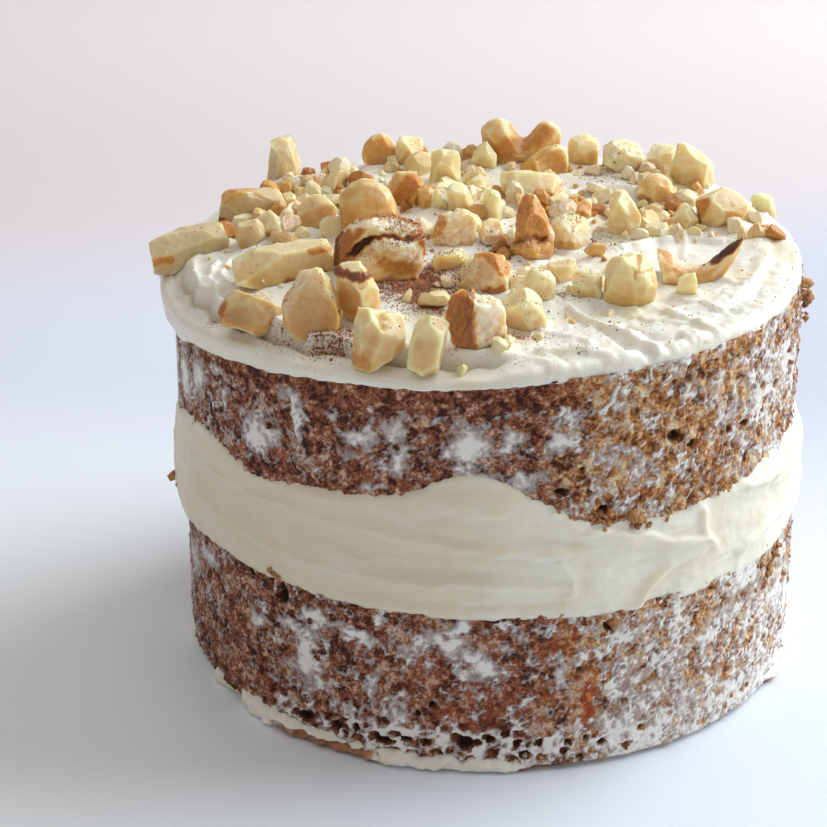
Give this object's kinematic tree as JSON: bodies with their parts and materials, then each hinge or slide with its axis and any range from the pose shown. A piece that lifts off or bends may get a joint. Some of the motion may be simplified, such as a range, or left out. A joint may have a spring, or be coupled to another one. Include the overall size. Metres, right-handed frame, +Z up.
{
  "type": "carrot cake",
  "caption": "Small round layer cake cut with a ring: two sponge rounds, a thick cream filling, a spread cream topping and chopped walnuts pressed into it.",
  "frame": {"origin": "middle of the flat face that the cake stands on", "axes": "+Z up through the layers; -Y is the front, the side with the lowest brown walnut half and the sprinkled cinnamon; +X is the cake's right as seen from the front"},
  "size_m": [0.0798, 0.0771, 0.0592],
  "materials": {
    "sponge": "open brown crumb with a thin scraped coat of cream",
    "cream": "soft satin cream-cheese frosting with spreading marks",
    "walnut_flesh": "smooth broken nut flesh with a slight oily sheen",
    "walnut_skin": "thin wrinkled brown nut skin"
  },
  "bodies": {
    "root": {"cream_filling": "cream", "cream_foot": "cream", "cream_topping": "cream", "lower_sponge": "sponge", "upper_sponge": "sponge", "walnut_back_brown": "walnut_skin", "walnut_back_crumbly": "walnut_flesh", "walnut_back_kernel": "walnut_skin", "walnut_back_left_spire": "walnut_flesh", "walnut_back_middle_pale": "walnut_flesh", "walnut_back_orange": "walnut_skin", "walnut_back_pale": "walnut_flesh", "walnut_back_right_spire": "walnut_flesh", "walnut_back_rim_crumbly": "walnut_flesh", "walnut_back_tan": "walnut_flesh", "walnut_back_wedge": "walnut_flesh", "walnut_back_yellow": "walnut_flesh", "walnut_big_kernel": "walnut_skin", "walnut_centre_crumbly": "walnut_flesh", "walnut_clear_lower": "walnut_flesh", "walnut_clear_upper": "walnut_flesh", "walnut_curl": "walnut_skin", "walnut_dusted_yellow": "walnut_flesh", "walnut_flat_brown": "walnut_skin", "walnut_front_brown": "walnut_skin", "walnut_front_chip": "walnut_flesh", "walnut_front_facet": "walnut_flesh", "walnut_front_left_kernel": "walnut_flesh", "walnut_front_left_wedge": "walnut_flesh", "walnut_front_post": "walnut_flesh", "walnut_heart": "walnut_flesh", "walnut_leaning_slice": "walnut_flesh", "walnut_left_block": "walnut_flesh", "walnut_left_crumb": "walnut_flesh", "walnut_left_nugget": "walnut_flesh", "walnut_left_skin": "walnut_skin", "walnut_left_slab": "walnut_flesh", "walnut_lobed_half": "walnut_skin", "walnut_long_slab": "walnut_flesh", "walnut_middle_crumbly": "walnut_flesh", "walnut_middle_pale": "walnut_flesh", "walnut_middle_wedge": "walnut_flesh", "walnut_orange_flake": "walnut_skin", "walnut_orange_slice": "walnut_skin", "walnut_pink_crumbly": "walnut_flesh", "walnut_right_arch": "walnut_skin", "walnut_right_flat": "walnut_flesh", "walnut_right_upright": "walnut_flesh", "walnut_right_wedge": "walnut_flesh", "walnut_rim_block": "walnut_flesh", "walnut_round_tan": "walnut_flesh", "walnut_small_sliver": "walnut_flesh", "walnut_small_tan": "walnut_flesh", "walnut_white_crumbly": "walnut_flesh", "walnut_white_sliver": "walnut_flesh"}
  },
  "joints": []
}
